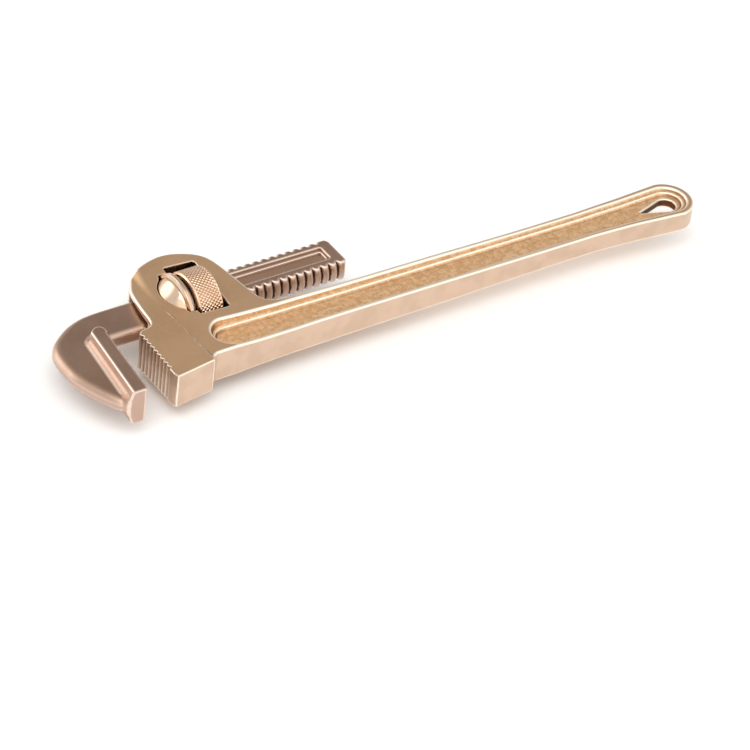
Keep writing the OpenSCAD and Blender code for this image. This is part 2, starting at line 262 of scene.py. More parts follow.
def field_piece(name, f, xs, ys, zs, body, nodes, mats, extra=None, limit=None, gh=0.3, sharp=False):
    """Mesh the zero level of a sampled field, with smooth normals from the field itself."""
    v, q = surface_net(f, xs, ys, zs)
    at = sampler(f, xs, ys, zs)
    for _ in range(2):
        g = gradient(at, v, gh)
        l2 = np.maximum((g * g).sum(1), 0.05)
        v = v - np.clip(at(v) / l2, -0.25, 0.25)[:, None] * g
    if limit and 2 * len(q) > limit:
        me = bpy.data.meshes.new("t")
        me.vertices.add(len(v)); me.vertices.foreach_set("co", v.astype(F32).ravel())
        me.loops.add(q.size); me.loops.foreach_set("vertex_index", q.astype(np.int32).ravel())
        me.polygons.add(len(q))
        me.polygons.foreach_set("loop_start", np.arange(0, q.size, 4, dtype=np.int32))
        me.polygons.foreach_set("loop_total", np.full(len(q), 4, np.int32))
        me.update(calc_edges=True)
        d = decimated(me, limit)
        v = np.empty(len(d.vertices) * 3, F32); d.vertices.foreach_get("co", v); v = v.reshape(-1, 3).astype(float)
        q = np.empty(len(d.polygons) * 3, np.int32); d.polygons.foreach_get("vertices", q); q = q.reshape(-1, 3)
        bpy.data.meshes.remove(d)
    if q.shape[1] == 4:
        q = np.concatenate([q[:, [0, 1, 2]], q[:, [0, 2, 3]]])

    def shade(v):
        n = unit(gradient(at, v, gh))
        # edge: how far the field rises along the tangent plane; cavity: how soon a ray meets the metal again. The
        # materials paint highlights and shade from them.
        ref = np.where(np.abs(n[:, :1]) < 0.8, np.array([[1.0, 0, 0]]), np.array([[0, 1.0, 0]]))
        t1 = unit(np.cross(n, ref)); t2 = np.cross(n, t1)
        e = sum(at(v + s * 0.9 * t) for s in (1, -1) for t in (t1, t2)) / 4 / 0.9
        lo, hi = np.array([xs[0], ys[0], zs[0]]), np.array([xs[-1], ys[-1], zs[-1]])

        def free(d):
            p = v + d * n
            return 1 - np.clip((at(p) + np.linalg.norm(p - np.clip(p, lo, hi), axis=1)) / d, 0, 1)
        near, far = free(1.1), free(3.5)
        a = {"edge": np.clip(e, -1, 1), "cavity": np.clip(np.maximum(near, far), 0, 1)}
        for key, fn in (extra or {}).items():
            a[key] = fn(v, n)
        return n, a
    print(name, "tris", len(q) * (q.shape[1] - 2))
    return make_object(name, v, q, body, nodes, mats, shade)


# ---------------------------------------------------------------- materials
def srgb(r, g, b):
    f = lambda c: (c / 255 / 12.92) if c / 255 <= 0.04045 else ((c / 255 + 0.055) / 1.055) ** 2.4
    return (f(r), f(g), f(b), 1.0)


class Nodes:
    def __init__(self, name):
        self.mat = bpy.data.materials.new(name)
        self.mat.use_nodes = True
        self.t = self.mat.node_tree
        self.t.nodes.clear()
        self.out = self.t.nodes.new("ShaderNodeOutputMaterial")
        self.bsdf = self.t.nodes.new("ShaderNodeBsdfPrincipled")
        self.link(self.bsdf.outputs[0], self.out.inputs[0])
        self.co = self.t.nodes.new("ShaderNodeTexCoord").outputs["Object"]

    def link(self, a, b):
        self.t.links.new(a, b)

    def feed(self, sock, val):
        if hasattr(val, "links"):
            self.link(val, sock)
        else:
            sock.default_value = val

    def noise(self, scale, detail=4, rough=0.55, dist=0.0, co=None, kind="FBM"):
        n = self.t.nodes.new("ShaderNodeTexNoise")
        n.noise_dimensions = "3D"
        n.inputs["Scale"].default_value = scale
        n.inputs["Detail"].default_value = detail
        n.inputs["Roughness"].default_value = rough
        n.inputs["Distortion"].default_value = dist
        self.link(co or self.co, n.inputs["Vector"])
        return n.outputs["Fac"]

    def voronoi(self, scale, co=None, feature="F1"):
        n = self.t.nodes.new("ShaderNodeTexVoronoi")
        n.feature = feature
        n.inputs["Scale"].default_value = scale
        self.link(co or self.co, n.inputs["Vector"])
        return n.outputs["Distance"]

    def mapped(self, scale, rot=(0, 0, 0)):
        n = self.t.nodes.new("ShaderNodeMapping")
        n.inputs["Scale"].default_value = scale
        n.inputs["Rotation"].default_value = rot
        self.link(self.co, n.inputs["Vector"])
        return n.outputs[0]

    def attr(self, name):
        n = self.t.nodes.new("ShaderNodeAttribute")
        n.attribute_type = "GEOMETRY"
        n.attribute_name = name
        return n.outputs["Fac"]

    def ramp(self, fac, a, b, lo=0.0, hi=1.0, smooth=True):
        n = self.t.nodes.new("ShaderNodeMapRange")
        n.interpolation_type = "SMOOTHSTEP" if smooth else "LINEAR"
        self.feed(n.inputs["Value"], fac)
        n.inputs["From Min"].default_value = a
        n.inputs["From Max"].default_value = b
        n.inputs["To Min"].default_value = lo
        n.inputs["To Max"].default_value = hi
        return n.outputs["Result"]

    def math(self, op, a, b=0.0, clamp=False):
        n = self.t.nodes.new("ShaderNodeMath")
        n.operation = op
        n.use_clamp = clamp
        self.feed(n.inputs[0], a)
        self.feed(n.inputs[1], b)
        return n.outputs[0]

    def mix(self, fac, a, b, mode="MIX"):
        n = self.t.nodes.new("ShaderNodeMix")
        n.data_type = "RGBA"
        n.blend_type = mode
        n.clamp_factor = True
        self.feed(n.inputs[0], fac)
        self.feed(n.inputs[6], a)
        self.feed(n.inputs[7], b)
        return n.outputs[2]

    def bump(self, height, dist, strength=1.0, normal=None):
        n = self.t.nodes.new("ShaderNodeBump")
        n.inputs["Distance"].default_value = dist
        n.inputs["Strength"].default_value = strength
        self.feed(n.inputs["Height"], height)
        if normal is not None:
            self.link(normal, n.inputs["Normal"])
        return n.outputs[0]


def bronze_frame():
    m = Nodes("cast_bronze")
    rec, edge, side, inner, cav = m.attr("recess"), m.attr("edge"), m.attr("side"), m.attr("inner"), m.attr("cavity")
    big = m.noise(38, 3, 0.5)
    mid = m.noise(260, 4, 0.6)
    fine = m.noise(2600, 2, 0.7)
    speck = m.noise(1400, 3, 0.65)
    # blasted faces: tan bronze with slow drifts of colour
    face = m.mix(m.ramp(big, 0.35, 0.68), srgb(216, 178, 140), srgb(208, 170, 131))
    face = m.mix(m.ramp(mid, 0.45, 0.8, 0, 0.35), face, srgb(228, 185, 150))
    face = m.mix(m.ramp(speck, 0.62, 0.8, 0, 0.35), face, srgb(150, 116, 84))
    # as-cast recess: golden, with dark and bright specks
    gold = m.mix(m.ramp(m.noise(330, 5, 0.7), 0.38, 0.66), srgb(222, 180, 134), srgb(246, 211, 170))
    gold = m.mix(m.ramp(m.noise(900, 3, 0.6), 0.56, 0.72, 0, 0.6), gold, srgb(168, 116, 62))
    gold = m.mix(m.ramp(m.noise(700, 2, 0.6, co=m.mapped((1, 1, 1), (0.4, 0.2, 0.9))), 0.62, 0.75, 0, 0.6), gold, srgb(250, 226, 186))
    # side walls: a lighter colour painted in for the light they reflect from the floor, and smoother
    side_painted_light_colour = m.mix(m.ramp(m.noise(90, 3, 0.5), 0.4, 0.65), srgb(216, 189, 167), srgb(208, 181, 158))
    col = m.mix(side, face, side_painted_light_colour)
    col = m.mix(rec, col, gold)
    # painted shade: darker where the metal closes over a spot (cavity measure)
    col = m.mix(m.ramp(cav, 0.12, 0.75, 0, 0.75), col, srgb(92, 56, 32))
    # painted shade: near-black on the walls inside the window and the hang hole
    col = m.mix(m.math("MULTIPLY", inner, 0.9), col, srgb(40, 24, 15))
    # painted shade on the end walls of the channel
    col = m.mix(m.math("MULTIPLY", m.attr("ends"), 0.8), col, srgb(122, 76, 44))
    # painted highlight: near-white along convex edges, weaker at the window rim and none inside the window
    edge_painted_highlight = m.math("MULTIPLY", m.ramp(edge, 0.035, 0.12, 0, 0.95), m.ramp(edge, 0.2, 0.4, 1.0, 0.45))
    edge_painted_highlight = m.math("MULTIPLY", edge_painted_highlight, m.math("SUBTRACT", 1.0, m.math("MULTIPLY", m.attr("rimw"), 0.75)))
    edge_painted_highlight = m.math("MULTIPLY", edge_painted_highlight, m.math("SUBTRACT", 1.0, inner))
    col = m.mix(edge_painted_highlight, col, srgb(255, 243, 226))
    # painted shade in concave creases
    col = m.mix(m.ramp(edge, -0.05, -0.25, 0, 0.85), col, srgb(96, 60, 34))
    m.feed(m.bsdf.inputs["Base Color"], col)
    m.bsdf.inputs["Metallic"].default_value = 1.0
    r = m.ramp(fine, 0.3, 0.7, 0.36, 0.46)
    r = m.math("ADD", r, m.math("MULTIPLY", rec, 0.10))
    r = m.math("ADD", r, m.math("MULTIPLY", side, -0.07))
    r = m.math("ADD", r, m.ramp(edge, 0.05, 0.2, 0, -0.10))
    m.feed(m.bsdf.inputs["Roughness"], r)
    h = m.math("ADD", m.math("MULTIPLY", m.noise(1500, 3, 0.6), 0.35), m.math("MULTIPLY", m.noise(420, 3, 0.55), 0.35))
    rough = m.math("ADD", m.noise(520, 6, 0.72), m.math("MULTIPLY", m.voronoi(480), 0.25))
    n1 = m.bump(h, 0.00020, 0.6)
    hr = m.math("MULTIPLY", rough, rec)
    n2 = m.bump(hr, 0.00045, 0.9, n1)
    m.feed(m.bsdf.inputs["Normal"], n2)
    return m.mat


def bronze_jaw():
    m = Nodes("jaw_bronze")
    edge, rec, side, cav = m.attr("edge"), m.attr("recess"), m.attr("side"), m.attr("cavity")
    big = m.noise(45, 3, 0.5)
    c = m.mix(m.ramp(big, 0.35, 0.65), srgb(174, 142, 122), srgb(164, 132, 112))
    c = m.mix(m.ramp(m.noise(420, 4, 0.6), 0.5, 0.78, 0, 0.3), c, srgb(182, 150, 129))
    c = m.mix(m.ramp(m.noise(1500, 3, 0.6), 0.62, 0.78, 0, 0.4), c, srgb(112, 84, 68))
    c = m.mix(m.math("MULTIPLY", rec, 0.5), c, srgb(196, 158, 130))
    # painted light: side walls lighter, for the floor light they reflect
    c = m.mix(m.math("MULTIPLY", side, 0.75), c, srgb(200, 171, 156))
    # painted shade: darker where the metal closes over a spot (cavity measure)
    c = m.mix(m.ramp(cav, 0.15, 0.8, 0, 0.8), c, srgb(70, 42, 30))
    # painted highlight along convex edges, such as the band on the bull-nosed rim
    c = m.mix(m.math("MULTIPLY", m.ramp(edge, 0.022, 0.11, 0, 0.75), m.ramp(edge, 0.2, 0.4, 1.0, 0.6)), c, srgb(242, 221, 206))
    # painted highlight: a bright band along the concave fillet beside the toothed bar, on the hook only
    fill = m.attr("fill")
    soft = m.math("MULTIPLY", m.ramp(edge, -0.03, -0.1, 0, 0.7), m.ramp(edge, -0.2, -0.3, 1, 0))
    c = m.mix(m.math("MULTIPLY", soft, fill), c, srgb(246, 228, 214))
    # painted shade in concave creases; on the hook only the deepest ones
    c = m.mix(m.math("MULTIPLY", m.ramp(edge, -0.06, -0.25, 0, 0.8), m.math("SUBTRACT", 1.0, fill)), c, srgb(74, 46, 33))
    c = m.mix(m.math("MULTIPLY", m.ramp(edge, -0.2, -0.34, 0, 0.75), fill), c, srgb(80, 50, 36))
    m.feed(m.bsdf.inputs["Base Color"], c)
    m.bsdf.inputs["Metallic"].default_value = 1.0
    m.feed(m.bsdf.inputs["Roughness"], m.math("ADD", m.ramp(m.noise(900, 3, 0.6), 0.3, 0.7, 0.30, 0.40), m.ramp(edge, 0.05, 0.2, 0, -0.08)))
    h = m.math("ADD", m.math("MULTIPLY", m.noise(1300, 3, 0.6), 0.3), m.math("MULTIPLY", m.noise(300, 3, 0.5), 0.5))
    m.feed(m.bsdf.inputs["Normal"], m.bump(h, 0.00010, 0.5))
    return m.mat


def bronze_nut():
    m = Nodes("knurled_bronze")
    pit = m.attr("pit")
    c = m.mix(m.ramp(m.noise(120, 3, 0.5), 0.35, 0.65), srgb(234, 200, 174), srgb(220, 184, 154))
    # painted shade: darker at the bottom of the knurl grooves
    c = m.mix(m.ramp(pit, 0.35, 0.95, 0, 0.85), c, srgb(138, 92, 62))
    m.feed(m.bsdf.inputs["Base Color"], c)
    m.bsdf.inputs["Metallic"].default_value = 1.0
    m.feed(m.bsdf.inputs["Roughness"], m.math("ADD", m.ramp(m.noise(1500, 2, 0.5), 0.3, 0.7, 0.17, 0.24), m.math("MULTIPLY", pit, 0.2)))
    turned = m.noise(900, 2, 0.5, co=m.mapped((1, 0.02, 0.02)))
    m.feed(m.bsdf.inputs["Normal"], m.bump(turned, 0.00003, 0.4))
    return m.mat


def polished_cap():
    m = Nodes("polished_bronze")
    edge = m.attr("edge")
    c = m.mix(m.ramp(m.noise(100, 3, 0.5), 0.35, 0.65), srgb(220, 194, 170), srgb(208, 180, 154))
    # painted shade in the groove at the foot of the dome and the pocket's corner
    c = m.mix(m.ramp(edge, -0.05, -0.2, 0, 0.7), c, srgb(120, 90, 66))
    m.feed(m.bsdf.inputs["Base Color"], c)
    m.bsdf.inputs["Metallic"].default_value = 1.0
    m.feed(m.bsdf.inputs["Roughness"], m.ramp(m.noise(500, 4, 0.6), 0.3, 0.7, 0.06, 0.12))
    turned = m.noise(700, 3, 0.5, co=m.mapped((1, 0.05, 0.05)))
    m.feed(m.bsdf.inputs["Normal"], m.bump(turned, 0.00003, 0.35))
    return m.mat


def spring_metal():
    m = Nodes("spring_steel")
    c = m.mix(m.ramp(m.noise(400, 3, 0.5), 0.35, 0.7), srgb(150, 140, 130), srgb(118, 108, 100))
    m.feed(m.bsdf.inputs["Base Color"], c)
    m.bsdf.inputs["Metallic"].default_value = 1.0
    m.feed(m.bsdf.inputs["Roughness"], m.ramp(m.noise(900, 3, 0.6), 0.3, 0.7, 0.28, 0.42))
    m.feed(m.bsdf.inputs["Normal"], m.bump(m.noise(1600, 3, 0.6), 0.00004, 0.5))
    return m.mat


MAT_FRAME, MAT_JAW, MAT_NUT, MAT_CAP, MAT_SPRING = bronze_frame(), bronze_jaw(), bronze_nut(), polished_cap(), spring_metal()

# ---------------------------------------------------------------- frame casting
HANDLE_W = [[45, 13.9], [85, 13.1], [120, 12.6], [190, 12.4], [250, 12.1], [290, 12.1], [320, 13.4], [338, 14.9], [348, 15.6]]
hw = lambda x: float(np.interp(x, *np.array(HANDLE_W).T))
hy = lambda x: -41.5 - float(np.interp(x, [45, 300, 350], [0, 0.1, 1.3]))
rim = lambda x: float(np.interp(x, [50, 120, 250, 300, 338, 350], [2.3, 2.5, 2.8, 3, 3.5, 3.6]))
SIDE = [[20, 11.2], [45, 11.2], [62, 10.2], [85, 9.1], [120, 8.5], [150, 8.1], [187, 7.7], [221, 7.1], [256, 6.6], [292, 6.5], [320, 6.6], [370, 6.4]]
heel_edge = curve([(0.4, -24), (2.4, -21.9), (7.4, -21), (10.3, -19), (11.8, -14.5), (12.4, -9), (13.2, -2), (14.4, 5.5), (16, 12.5), (19.2, 18.8), (22, 23.6)], 4)
loop_edge = curve([(22, 23.6), (25.5, 26.6), (30, 29.1), (36, 31.5), (42, 33.1), (48, 33.8), (54, 33.3), (60, 31.5), (65.5, 28.8), (70, 25), (73, 19.5), (74.8, 12), (76, 4), (77.3, -5), (78.6, -14), (80, -20), (82.6, -24.2), (87, -26.7), (93, -27.8), (104, -28.3)], 5)
XU = [120, 150, 190, 250, 290, 305, 320, 330, 338]
PLAN = heel_edge + loop_edge[1:] + [(x, hy(x) + hw(x)) for x in XU] + arc((348.6, -42.8), 15.9, 84, -84, 32) \
    + [(x, hy(x) - hw(x)) for x in XU[::-1] + [85, 55, 36]] + [(31.5, -55.6), (28.6, -57), (27.3, -59.4), (26.8, -60.9), (0, -65), (0, -24.5)]
ARC_X = curve([(27.2, -60.6), (26.3, -50), (25.7, -40), (25.3, -28), (24.7, -12), (24.2, 2), (24.6, 12), (25.8, 21), (27.5, 31)], 4)
WINDOW = arc((58.4, -19.7), 2, -90, 0, 8) + arc((61.0, 20.7), 1.8, 0, 90, 8) + arc((43.7, 21.5), 1, 90, 180, 5) + arc((42.6, -20.1), 1.6, 180, 270, 6)
# ball seat, shoulder and bore for the cap, as (x, radius)
SEAT = [(47 - 21.2 * math.cos(math.radians(56.1 * k / 20)), 21.2 * math.sin(math.radians(56.1 * k / 20))) for k in range(21)] + [(37, 20.9), (46, 20.9), (46, -3), (25.8, -3)]


def channel():
    xs = [62, 85, 120, 190, 250, 290, 305, 320, 330, 338]
    return arc((49, hy(49)), hw(49) - 2.3, 90, 270, 30) + [(x, hy(x) - hw(x) + rim(x)) for x in xs] \
        + arc((348.4, hy(348.4)), hw(348) - 3.6, -90, 90, 30) + [(x, hy(x) + hw(x) - rim(x)) for x in xs[::-1]]


def teardrop():
    c, r, tip = (348.0, -43.4), 5.95, (328.9, -43.0)
    dx, dy = c[0] - tip[0], c[1] - tip[1]
    a = math.degrees(math.acos(r / math.hypot(dx, dy)))
    b = math.degrees(math.atan2(dy, dx)) + 180
    return [tip] + arc(c, r, b + a, b + 360 - a, 48)


def frame_field(xs, ys, zs):
    X, Y = np.meshgrid(xs.astype(F32), ys.astype(F32), indexing="ij")
    P = sd_poly(X, Y, PLAN)
    xc = lookup(Y, sorted([(b, a) for a, b in ARC_X]))
    main = lookup(X, SIDE) - 1.0 * np.clip((12 - Y) / 56, 0, 1) * (1 - step(X, 52, 105))
    front = lookup(Y, [[-66, 10.7], [-24.5, 11.9], [-16, 11.35], [10, 10.2], [34, 8.2]])
    width = lookup(Y, [[-60, 0.28], [-20, 0.4], [-4, 1.2], [10, 2.4], [30, 3.4]])
    w = step(X - xc, -width, width)
    T = front * (1 - w) + main * w
    R = lookup(Y, [[-66, 0.35], [-26, 0.4], [-16, 1.0], [40, 1.3]]) * (1 - step(X, 26, 30)) + step(X, 26, 30) * lookup(X, [[26, 1.2], [90, 1.0], [150, 0.9], [370, 0.9]])
    Z = np.abs(zs.astype(F32))[None, None, :]
    YY, XX = Y[:, :, None], X[:, :, None]
    P3, T3 = P[:, :, None], T[:, :, None]
    F = iround(P3, Z - T3, R[:, :, None])
    # window and the round pocket of the cap
    W = sd_poly(X, Y, WINDOW)[:, :, None] + 0 * Z
    i0, i1 = np.searchsorted(xs, 18.0), np.searchsorted(xs, 66.0)
    sub = slice(i0, i1)
    rr = np.sqrt(YY[sub] ** 2 + Z ** 2)
    seat = sd_poly(XX[sub] + 0 * rr, rr, SEAT)
    cut = W.copy()
    cut[sub] = uround(W[sub], seat, F32(0.5))
    F = dround(F, cut, F32(0.5))
    # slot for the shank, left and right of the window
    def box(y0, y1, t, r):
        ay = np.abs(YY - (y0 + y1) / 2) - (y1 - y0) / 2 + r
        az = Z - t + r
        return np.sqrt(np.maximum(ay, 0) ** 2 + np.maximum(az, 0) ** 2) + np.minimum(np.maximum(ay, az), 0) - r
    F = dround(F, np.maximum(box(-13.4, 17.5, 7.2, 1.2), XX - 45), F32(0.6))
    F = dround(F, np.maximum(box(-15.2, 13.5, 7.2, 1.2), 58 - XX), F32(0.6))
    # rivet bore
    rv = np.sqrt((XX - 28) ** 2 + Z ** 2) - F32(1.5)
    F = np.maximum(F, -np.maximum(rv, 16 - YY))
    # serrations of the heel jaw
    u = (-24.9 - Y) / 3.6
    fr = u - np.floor(u)
    g = np.where(fr < 0.62, fr / 0.62, np.clip((0.93 - fr) / 0.31, 0, 1)) * 1.5
    g = np.where((u > 0) & (u < 9), g, 0)
    F = np.maximum(F, ((g - X) * 0.8)[:, :, None] * np.ones_like(Z) - 0.0)
    # small bevel that takes the tooth face down to the smooth land and the tip
    F = np.maximum(F, ((-X - 0.35 * (Y + 62.0)) * 0.94)[:, :, None] * np.ones_like(Z))
    # stepped channel in the handle
    C = sd_poly(X, Y, channel())[:, :, None]
    f1 = lookup(X, [[30, 5.7], [380, 4.35]])[:, :, None]
    f2 = lookup(X, [[30, 3.5], [380, 2.7]])[:, :, None]
    deep = T3 - Z
    c1 = iround(C + 0.22 * deep, f1 - Z, F32(1.2))
    F = dround(F, c1, F32(1.15))
    c2 = iround(C + 2.7 + 0.25 * (f1 - Z), f2 - Z, F32(1.0))
    F = dround(F, c2, F32(1.2))
    H = sd_poly(X, Y, teardrop())[:, :, None] + 0 * Z
    F = dround(F, H, F32(0.7))
    return F.astype(F32), C[:, :, 0], T


def build_frame():
    h = 0.42
    xs = np.concatenate([np.arange(-1.4, 2.4, 0.24), np.arange(2.6, 22, h), np.arange(22.2, 30.8, 0.3), np.arange(31, 90, h), np.arange(90.2, 322, 1.5), np.arange(322.2, 366.6, h)])
    ys = np.concatenate([np.arange(-67.3, -60, h), np.arange(-60, -23.6, 0.27), np.arange(-23.4, 36, h)])
    zh = np.arange(h / 2, 13.4, h)
    F, C, T = frame_field(xs, ys, zh)
    f = np.concatenate([F[:, :, ::-1], F], 2)
    zs = np.concatenate([-zh[::-1], zh])
    c_at = sampler(np.repeat(C[:, :, None], 2, 2), xs, ys, np.array([-30.0, 30.0]))
    t_at = sampler(np.repeat(T[:, :, None], 2, 2), xs, ys, np.array([-30.0, 30.0]))

    def recess(v, n):
        inside = 1 - step(c_at(v), 0.2, 0.8)
        below = step(t_at(v) - np.abs(v[:, 2]), 0.7, 1.4)
        return inside * below

    # walls that face sideways: the materials paint them lighter, as painted light
    def side(v, n):
        flat = 1 - step(np.abs(n[:, 2]), 0.35, 0.7)
        return flat * (1 - recess(v, n))
    # band round the window and the cap's seat: the painted edge highlight is weakened there and the inner painted
    # shade is drawn from it
    def window_rim(v, n):
        w = sd_poly(v[:, 0], v[:, 1], WINDOW)
        seat = sd_poly(v[:, 0], np.hypot(v[:, 1], v[:, 2]), SEAT)
        near = np.maximum(1 - step(np.abs(w), 0.5, 0.9), 1 - step(np.abs(seat), 0.5, 0.9))
        return near * (v[:, 0] < 66) * (v[:, 1] > -22)

    # mask of the window's inner walls and the hang hole's wall, where the frame material paints near-black shade
    def inner(v, n):
        hole = 1 - step(np.abs(sd_poly(v[:, 0], v[:, 1], teardrop())), 0.4, 0.8)
        hole = hole * (v[:, 0] > 320) * step(2.3 - np.abs(v[:, 2]), 0, 1.0)
        return np.maximum(window_rim(v, n) * step(t_at(v) - np.abs(v[:, 2]), 0.7, 2.6), hole)

    def ends(v, n):
        # walls at the round ends of the channel, which look back along the handle; the frame material paints shade on
        # them
        return recess(v, n) * step(np.abs(n[:, 0]), 0.2, 0.6) * (1 - step(np.abs(n[:, 2]), 0.75, 0.95))
    return field_piece("frame_casting", f, xs, ys, zs, "handle", ["frame"], [MAT_FRAME], {"recess": recess, "side": side, "inner": inner, "rimw": window_rim, "ends": ends}, limit=196000)


# ---------------------------------------------------------------- hook jaw
PITCH, CREST = 5.4, 12.8
hook_edge = curve([(26, 11.8), (10, 11.8), (-4, 11.8), (-13.7, 11.3), (-20.5, 10.1), (-27.3, 7.9), (-33, 4.6), (-38.4, 0.4), (-42.9, -4.5), (-45.6, -10.2), (-46.8, -17), (-47, -24.5), (-46.8, -31.7), (-45.2, -38.7), (-42.9, -45.7), (-40, -52.4), (-36.6, -59), (-33.4, -63.6), (-29.6, -66.2)], 4)
BAR = [(-31.3, -66), (-26.6, -67), (-20.5, -67), (-19.2, -65.9), (-16.1, -29), (-14.2, -18), (-13.8, -12.4)] + arc((-17.7, -11.4), 3.9, 0, 125, 14) + [(-25.6, -12.4)]


def jaw_field(xs, ys, zs):
    X, Y = np.meshgrid(xs.astype(F32), ys.astype(F32), indexing="ij")
    Z = zs.astype(F32)[None, None, :]
    AZ = np.abs(Z)
    XX, YY = X[:, :, None], Y[:, :, None]
    rad = np.sqrt(YY ** 2 + Z ** 2)
    th = np.arctan2(Z, YY)
    # threaded shank
    ph = (XX - 23.2) / PITCH - th / (2 * math.pi)
    u = np.abs(ph - np.round(ph)) * PITCH
    depth = 2.15 * (1 - np.clip(u / (0.5 * PITCH), 0, 1)) ** 2.6
    on = step(XX, 20.0, 21.6) * (1 - step(XX - 2.7 * (YY < 0), 138.6, 139.4))
    cyl = (rad - CREST + depth * on) * 0.8
    end = sd_poly(X, Y, [(12, -15), (142.2, -15), (145, -9.5), (145, 8.4), (141.2, 15), (12, 15)])[:, :, None]
    S = iround(cyl, AZ - 6.6, F32(0.55))
    S = iround(S, end, F32(0.7))
    S = np.maximum(S, 18 - XX)
    # stepped recess in both faces
    pa = sd_poly(X, Y, [(66, -5.4), (136.4, -5.2), (137.3, -4.8), (137.6, -3.9), (137.6, 4.9), (137.3, 5.6), (136.4, 5.95), (66, 6.9)])[:, :, None]
    pa = iround(pa + 0.2 * (6.6 - AZ), 5.45 - AZ, F32(0.4))
    S = dround(S, pa, F32(0.4))
    pb = sd_poly(X, Y, [(68, -3.9), (135.0, -3.9), (135.7, -3.6), (136, -3), (136, 2.6), (135.8, 3.1), (135.2, 3.4), (68, 3.8)])[:, :, None]
    pb = iround(pb + 0.3 * (5.45 - AZ), 4.1 - AZ, F32(0.5))
    S = dround(S, pb, F32(0.3))
    # neck and hook plate
    plate2 = sd_poly(X, Y, hook_edge + [(-22, -64), (-15, -12.8), (26, -12.8)])[:, :, None]
    # bull-nosed outer rim, easing to a smaller radius along the neck
    bull = step(-X, 14, 34)
    low = step(X, -19, -15) * step(-Y, -2, 3)
    Pl = iround(plate2 * (1 - 0.2 * bull)[:, :, None], AZ - 4.8, (2.4 + 1.7 * bull + 1.2 * low)[:, :, None])
    # toothed bar
    bar2 = sd_poly(X, Y, BAR)[:, :, None]
    back = (-(X + 22.6) * 0.995 + (Y + 12.4) * 0.1)[:, :, None]
    B = iround(iround(bar2, AZ - 11.2, F32(0.5)), (back - 0.3 * np.clip(11.2 - AZ, 0, 6.4)) * 0.96, F32(0.6))
    ca, sa = math.cos(math.radians(4.75)), math.sin(math.radians(4.75))
    ly = -sa * -(X + 15.75) * -1 + ca * (Y + 25)
    lx = ca * (X + 15.75) - sa * (Y + 25)
    v = -ly / 3.6
    fr = v - np.floor(v)
    g = np.where(fr < 0.62, fr / 0.62, np.clip((0.93 - fr) / 0.31, 0, 1)) * 1.5
    g = np.where((v > 0) & (v < 10), g, 0)
    H = uround(Pl, B, F32(3.2))
    H = iround(H, (-67.0 - Y)[:, :, None] + 0 * AZ, F32(0.5))
    # the fillet stays off the gripping face, and the teeth stop short of its long edges
    H = np.maximum(H, np.where(Y < -14, lx * 0.9, -9)[:, :, None] * np.ones_like(Z))
    fade = 1 - step(AZ, 9.2, 10.1)
    H = np.maximum(H, np.where((Y < -24.5)[:, :, None], (lx[:, :, None] + g[:, :, None] * fade) * 0.8, -9))
    F = uround(H, S, F32(1.6))
    return F.astype(F32)


def build_jaw():
    h = 0.44
    xs = np.concatenate([np.arange(-49, 147, h)])
    ys = np.arange(-69.2, 15.6, h)
    zs = np.arange(-12.76, 13, h)
    f = jaw_field(xs, ys, zs)

    def recess(v, n):
        m = (v[:, 0] > 65) & (v[:, 0] < 136) & (np.abs(v[:, 1]) < 6.2) & (np.abs(v[:, 2]) < 6.35)
        return m.astype(float)

    def fill(v, n):
        return (v[:, 0] < -9).astype(float)

    # walls that face sideways, painted lighter as painted light (less on the shank)
    def side(v, n):
        return (1 - step(np.abs(n[:, 2]), 0.3, 0.7)) * np.where(v[:, 0] < 22, 1.0, 0.6)
    return field_piece("hook_jaw_forging", f, xs, ys, zs, "hook", ["hook_jaw"], [MAT_JAW], {"recess": recess, "side": side, "fill": fill}, limit=197000)


